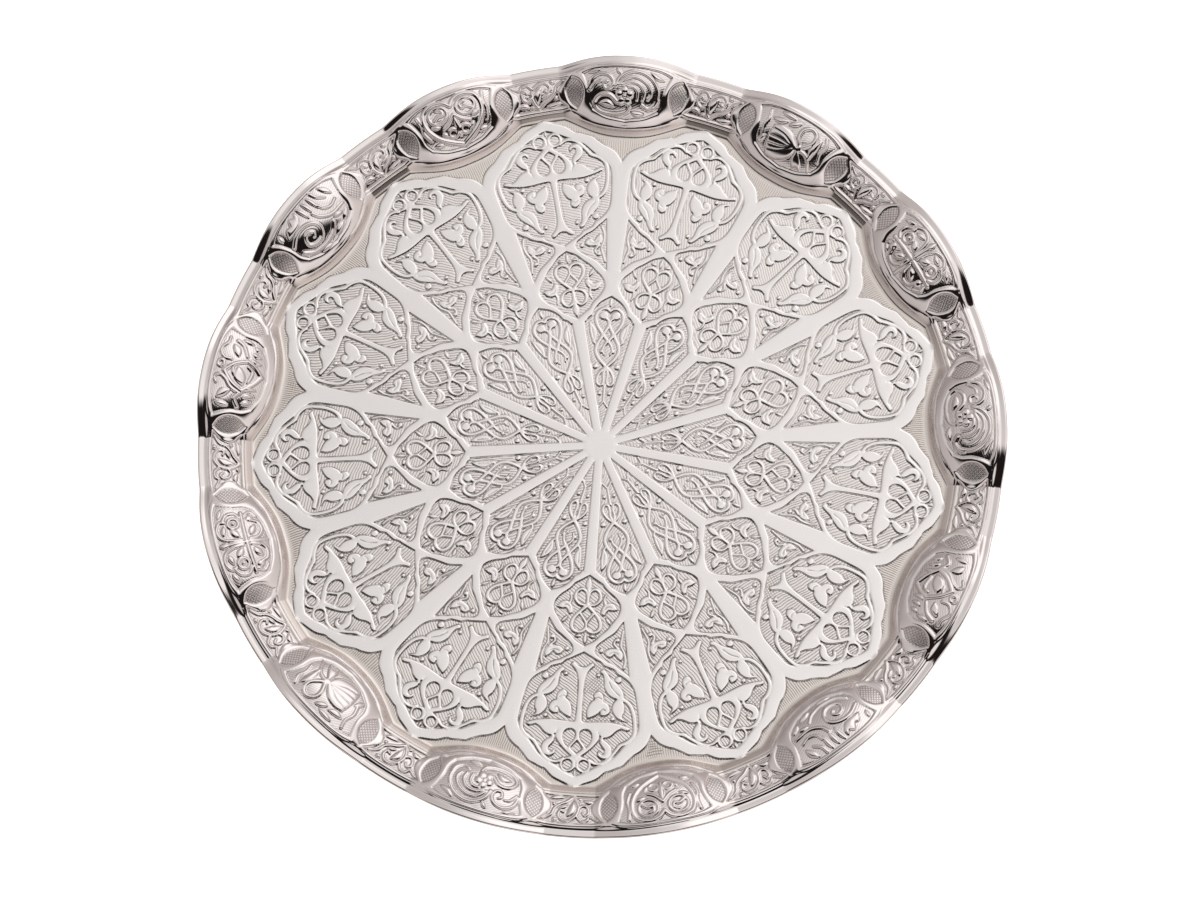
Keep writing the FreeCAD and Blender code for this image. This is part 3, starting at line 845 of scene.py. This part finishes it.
def build_sheet():
    angle = np.arange(COLUMNS_PER_LOBE // 2 + 1) * (SPACING / COLUMNS_PER_LOBE)
    radius = top_radii(angle)
    height = wall_height(radius, angle[None, :]) + SHEET
    inside, engraved, in_petal, in_border = [
        a.reshape(radius.shape)
        for a in floor_ornament(radius.ravel(), np.broadcast_to(angle, radius.shape).ravel())
    ]
    share = lobe_share(angle)[None, :]
    root = between(ROOT_RADIUS, share)
    on_floor = smooth(FLOOR_FADE, -FLOOR_FADE, radius - root)
    from_groove = radius - edge_centre(angle)[0][None, :] + BEAD_GROOVE_IN
    groove = BEAD_GROOVE * np.exp(-((from_groove / BEAD_GROOVE_WIDTH) ** 2))
    from_bead = radius - root - ROOT_BEAD_OUT
    bead = ROOT_BEAD * smooth(*ROOT_BEAD_RISE, share) * np.exp(-((from_bead / ROOT_BEAD_WIDTH) ** 2))
    relief = relief_height(inside, engraved, DEPTH, STEP_WIDTH, DOME) * on_floor - groove + bead

    turn = np.arange(LOBES * COLUMNS_PER_LOBE) * (SPACING / COLUMNS_PER_LOBE)
    radius, height, relief, inside, engraved = map(full_ring, (radius, height, relief, inside, engraved))
    in_petal, in_border, on_floor = map(full_ring, (in_petal, in_border, on_floor))
    first = int(np.argmax(radius[:, 0] > FLAT_RADIUS))
    wall_inside, wall_engraved, facets = wall_ornament(radius[first:])
    relief[first:] += relief_height(wall_inside, wall_engraved, WALL_DEPTH, WALL_STEP_WIDTH, WALL_DOME)
    crossed = np.zeros(radius.shape, bool)
    crossed[first:] = facets
    inside = np.where(on_floor > 0.5, np.minimum(inside, -engraved), EDGE_REACH)
    inside[first:] = np.minimum(inside[first:], np.minimum(wall_inside, -wall_engraved))
    base = np.stack([radius * np.cos(turn), radius * np.sin(turn), height], 2)
    normal = surface_normals(base)
    top = base + normal * relief[:, :, None]
    soft = softened(relief, times=2)
    stamped = UNDER_RELIEF * np.clip(1.0 + soft / DEPTH, 0.0, 1.0) - SHEET
    under = base + normal * np.minimum(stamped, soft - LEAST_THICKNESS)[:, :, None]
    under[:, :, 2] = np.maximum(under[:, :, 2], 0.0)

    across, along = hatching(radius, turn[None, :], in_petal, in_border, on_floor < 0.5, crossed)
    root = between(ROOT_RADIUS, lobe_share((turn + HALF) % SPACING - HALF))
    from_foot = radius - root
    border_cut = smooth(*BORDER_CUT_ENDS, from_foot) + WALL_CUT * smooth(*WALL_CUT_STARTS, from_foot)
    cut = np.where(in_border & ~crossed, border_cut, 1.0)
    distance = np.clip(inside, -EDGE_REACH, EDGE_REACH)
    values = np.stack([distance, across, along, crossed, cut, in_border * on_floor, 1.0 - on_floor], 2)

    rings = Rings()
    rings.add(np.array([[0.0, 0.0, top[0, 0, 2]]]), values[:1, 0])
    for row in range(len(top)):
        step = columns_step(radius[row, 0])
        rings.add(top[row, ::step], values[row, ::step])
    centre = [full_ring(half[None, :])[0] for half in edge_centre(angle)]
    start = math.pi / 2.0 - LIP_DROOP
    curl_rings(rings, turn, centre, CURL_OUTER, np.linspace(start, CURL_END, CURL_RINGS), 0)
    coarse = [c[::2] for c in centre]
    curl_rings(rings, turn[::2], coarse, CURL_INNER, np.linspace(CURL_END, start, CURL_RINGS // 2), 1)
    for row in range(len(under) - 3, -1, -2):
        ring = under[row, :: 2 * columns_step(radius[row, 0])]
        rings.add(ring, plain_values(len(ring)), side=1)
    rings.add(np.array([[0.0, 0.0, under[0, 0, 2]]]), plain_values(1), side=1)
    sheet = bpy.data.objects.new("chased_dish", rings.mesh("chased_dish", VALUES))
    bpy.context.scene.collection.objects.link(sheet)
    return sheet


# ======== materials
class Nodes:
    """Short calls for building a node tree. A value may be a number, a colour or a socket."""

    def __init__(self, tree):
        self.tree = tree

    def new(self, kind, **settings):
        node = self.tree.nodes.new(kind)
        for name, value in settings.items():
            setattr(node, name, value)
        return node

    def feed(self, node, values):
        """Gives a node its values, by the names or the numbers of its sockets."""
        for socket, value in values.items():
            if isinstance(value, bpy.types.NodeSocket):
                self.tree.links.new(value, node.inputs[socket])
            else:
                node.inputs[socket].default_value = value
        return node.outputs

    def maths(self, operation, a, b=0.0):
        return self.feed(self.new("ShaderNodeMath", operation=operation), {0: a, 1: b})[0]

    def plus(self, a, b):
        return self.maths("ADD", a, b)

    def minus(self, a, b):
        return self.maths("SUBTRACT", a, b)

    def times(self, a, b):
        return self.maths("MULTIPLY", a, b)

    def vectors(self, operation, a, b):
        """The number that comes out of two vectors."""
        return self.feed(self.new("ShaderNodeVectorMath", operation=operation), {0: a, 1: b})["Value"]

    def parts(self, vector):
        return self.feed(self.new("ShaderNodeSeparateXYZ"), {0: vector})

    def value(self, name):
        return self.new("ShaderNodeAttribute", attribute_name=name).outputs["Fac"]

    def noise(self, vector, scale, detail=2.0, rough=0.5):
        node = self.new("ShaderNodeTexNoise")
        settings = {"Vector": vector, "Scale": scale, "Detail": detail, "Roughness": rough}
        return self.feed(node, settings)["Fac"]

    def mix(self, share, a, b):
        node = self.new("ShaderNodeMix", data_type="RGBA")
        return self.feed(node, {"Factor": share, "A": a, "B": b})["Result"]

    def scaled(self, colour, factor):
        node = self.new("ShaderNodeVectorMath", operation="SCALE")
        return self.feed(node, {0: colour, "Scale": factor})[0]

    def ramp(self, value, start, end):
        """0 where value is at start, 1 where it is at end, smooth between."""
        node = self.new("ShaderNodeMapRange", interpolation_type="SMOOTHSTEP")
        limits = (end, start, 1.0, 0.0) if start > end else (start, end, 0.0, 1.0)
        names = ("From Min", "From Max", "To Min", "To Max")
        return self.feed(node, {"Value": value, **dict(zip(names, limits))})["Result"]

    def blend(self, share, a, b):
        """a where share is 0 and b where it is 1, for numbers."""
        return self.plus(a, self.times(share, self.minus(b, a)))


def new_material(name):
    material = bpy.data.materials.new(name)
    material.use_nodes = True
    return material, Nodes(material.node_tree), material.node_tree.nodes["Principled BSDF"]


def stripes(n, turns, bold):
    """1 in cut lines, one to each turn, and 0 between them. They are wider where bold is 1."""
    wave = n.maths("ABSOLUTE", n.minus(n.maths("FRACT", turns), 0.5))
    return n.maths("MAXIMUM", n.ramp(wave, 0.28, 0.02), n.times(bold, n.ramp(wave, 0.26, 0.08)))


def cut_lines(n, position, crossed):
    """The lines cut in the sunk ground. They cross where crossed is 1 and here and there besides."""
    wander = n.times(n.noise(position, scale=90.0), n.blend(crossed, 2.6, 0.8))
    lines = stripes(n, n.plus(n.value("across"), wander), crossed)
    crossing = stripes(n, n.plus(n.value("along"), wander), crossed)
    both = n.maths("MAXIMUM", crossed, n.ramp(n.noise(position, scale=55.0), 0.60, 0.64))
    return n.maths("MAXIMUM", lines, n.times(crossing, both))


def foot_lines(n, position, distance, wall, line_darkness):
    """The dark lines at the foot of the raised work, tarnish with painted shade, broken here and there and
    as dark as the share they are given, which the painted glare lowers.
    """
    away = n.maths("ABSOLUTE", n.plus(distance, FOOT_LINE_OUT))
    broken = n.ramp(n.noise(position, scale=240.0), 0.40, 0.60)
    line = n.times(n.ramp(away, *FOOT_LINE_EDGE), n.blend(broken, FOOT_LINE_LEAST, 1.0))
    return n.times(line, n.blend(wall, line_darkness, WALL_LINES))


def silver_roughness(n, ground, wall, risen, crossed, cloud):
    on_wall = n.blend(risen, FOOT_ROUGH, WALL_ROUGH)
    rough = n.blend(wall, n.blend(ground, RAISED_ROUGH, SUNK_ROUGH), on_wall)
    rough = n.blend(crossed, rough, FACET_ROUGH)
    return n.plus(rough, n.times(n.minus(cloud, 0.5), CLOUD_ROUGH))


def silver_bump(n, position, lines, wall, crossed):
    """The cut lines and the faint marks of polishing."""
    depth = n.blend(crossed, n.blend(wall, HATCH_DEPTH, WALL_HATCH_DEPTH), HATCH_DEPTH)
    polish = n.times(n.noise(position, scale=500.0, rough=0.6), POLISH_DEPTH)
    height = n.minus(polish, n.times(lines, depth))
    return n.feed(n.new("ShaderNodeBump"), {"Strength": 1.0, "Distance": MM, "Height": height})["Normal"]


def silver_plate():
    material, n, shader = new_material("silver_plate")
    position = n.new("ShaderNodeTexCoord").outputs["Object"]
    distance, wall, crossed = n.value("edge_distance"), n.value("wall"), n.value("crossed")
    ground = n.ramp(distance, *GROUND_EDGE)
    lines = n.times(cut_lines(n, position, crossed), n.times(ground, n.value("cut")))
    # painted glare: the dark lines grow fainter toward the glare's centre
    glare = n.ramp(n.vectors("DISTANCE", position, GLARE_CENTRE), *GLARE_REACH)
    line_darkness = n.blend(glare, LINES_IN_GLARE, LINES_FULL)
    inked = n.blend(crossed, n.blend(wall, n.times(line_darkness, GROUND_INK), WALL_INK), FACET_INK)
    risen = n.ramp(n.parts(position)["Z"], *WALL_FOOT_TOP)
    cloud = n.noise(position, scale=45.0, detail=3.0)
    colour = n.mix(ground, PLATE, SUNK)
    # painted shade on the sunk ground of the border next to the wall
    colour = n.mix(n.times(n.value("border"), ground), colour, SHADED_BORDER_GROUND)
    # the wall's own colour, with painted shade at its foot that fades out as the wall rises
    colour = n.mix(wall, colour, n.mix(risen, SHADED_WALL_FOOT, WALL))
    colour = n.mix(n.times(cloud, CLOUDING), colour, DULL)
    colour = n.mix(n.times(lines, inked), colour, TARNISH_AND_SHADE)
    n.feed(shader, {
        # the dark lines at the foot of the raised work: tarnish with painted shade
        "Base Color": n.mix(foot_lines(n, position, distance, wall, line_darkness), colour, TARNISH_AND_SHADE),
        "Metallic": 1.0,
        "Roughness": silver_roughness(n, ground, wall, risen, crossed, cloud),
        "Normal": silver_bump(n, position, lines, wall, crossed),
    })
    return material


def wire_steel():
    material, n, shader = new_material("wire_steel")
    drawn = n.noise(n.new("ShaderNodeTexCoord").outputs["Object"], scale=900.0)
    colour, rough = n.mix(drawn, WIRE_DULL, WIRE_BRIGHT), n.blend(drawn, *WIRE_ROUGH)
    n.feed(shader, {"Base Color": colour, "Metallic": 1.0, "Roughness": rough})
    return material


# ======== studio
def studio_floor():
    bpy.ops.mesh.primitive_plane_add(size=FLOOR_SIZE, location=(0, 0, -FLOOR_DROP))
    floor = bpy.context.object
    floor.name = "studio_floor"
    material, n, shader = new_material("pale_floor")
    n.feed(shader, {"Base Color": FLOOR_COLOUR, "Roughness": 0.9, "Specular IOR Level": 0.1})
    n.feed(shader, {"Emission Color": WHITE, "Emission Strength": 0.55})
    floor.data.materials.append(material)


def tent_wall(n, direction, x, y, z):
    """The tent's brightness: a ramp by height with a softbox in it, dimmer to the left and the back."""
    ramp = n.new("ShaderNodeValToRGB")
    ramp.color_ramp.interpolation = "EASE"
    elements = ramp.color_ramp.elements
    elements[0].position, elements[1].position = TENT[0][0], TENT[-1][0]
    for height, _ in TENT[1:-1]:
        elements.new(height)
    for element, (_, colour) in zip(elements, TENT):
        element.color = colour + (1.0,)
    softbox = n.ramp(n.vectors("DOT_PRODUCT", direction, SOFTBOX), *SOFTBOX_EDGE)
    bright = n.mix(n.times(softbox, SOFTBOX_SHARE), n.feed(ramp, {0: z})["Color"], SOFTBOX_LIGHT)
    share = n.blend(n.ramp(x, *LEFT_TO_RIGHT), TENT_LEFT, TENT_RIGHT)
    return n.scaled(bright, n.times(share, n.blend(n.ramp(y, *BACK_TO_FRONT), TENT_BACK, TENT_FRONT)))


def tent_opening(n, x, y, z):
    """1 in the opening, which is high up on the -Y side, round the way the plate is seen."""
    sideways = n.maths("ABSOLUTE", x)
    toward = n.minus(n.minus(n.times(sideways, OPENING_WRAP), y), n.times(x, OPENING_LEAN))
    height = n.plus(n.times(sideways, OPENING_SAG), z)
    return n.times(n.ramp(toward, *OPENING_SIDE), n.ramp(height, *OPENING_HEIGHT))


def studio_light():
    """A bright tent with a dark opening, seen in the silver. Past the plate, the view is white."""
    world = bpy.data.worlds.new("tent")
    bpy.context.scene.world = world
    world.use_nodes = True
    n = Nodes(world.node_tree)
    direction = n.new("ShaderNodeTexCoord").outputs["Generated"]
    x, y, z = n.parts(direction)
    light = n.mix(tent_opening(n, x, y, z), tent_wall(n, direction, x, y, z), OPENING_DARK)
    seen = n.new("ShaderNodeLightPath").outputs["Is Camera Ray"]
    n.feed(world.node_tree.nodes["Background"], {"Color": n.mix(seen, light, WHITE)})


def lamp(name, place, size, power):
    """A soft lamp that lights the floor and doesn't show as a shape in the silver."""
    data = bpy.data.lights.new(name, "AREA")
    data.shape, data.size, data.energy = "DISK", size, power
    thing = bpy.data.objects.new(name, data)
    thing.location = place
    thing.rotation_euler = (Vector((0, 0, 0)) - Vector(place)).to_track_quat("-Z", "Y").to_euler()
    thing.visible_glossy = False
    bpy.context.scene.collection.objects.link(thing)


def camera():
    """Looks down on the plate from its -Y side, a little turned about the view."""
    data = bpy.data.cameras.new("camera")
    thing = bpy.data.objects.new("camera", data)
    bpy.context.scene.collection.objects.link(thing)
    place = Matrix.Translation((0.0, 0.0, VIEW_DISTANCE))
    for degrees, axis in ((-VIEW_ROLL, "Z"), (90.0 - VIEW_ELEVATION, "X"), (VIEW_AZIMUTH, "Z")):
        place = Matrix.Rotation(math.radians(degrees), 4, axis) @ place
    thing.matrix_world = place
    data.lens, data.sensor_width, data.shift_y = VIEW_LENS, VIEW_SENSOR, VIEW_SHIFT
    data.clip_end = VIEW_END
    bpy.context.scene.camera = thing


def main():
    sheet = build_sheet()
    sheet.data.materials.append(silver_plate())
    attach(sheet, "root")
    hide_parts("dish_sheet")
    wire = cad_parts["edge_wire"]
    wire.data.materials.clear()
    wire.data.materials.append(wire_steel())
    studio_floor()
    studio_light()
    lamp("key", place=(-0.9, 0.7, 1.8), size=1.2, power=22.0)
    lamp("fill", place=(1.1, -0.5, 1.6), size=1.4, power=14.0)
    camera()
    bpy.context.scene.view_settings.view_transform = "Standard"


main()
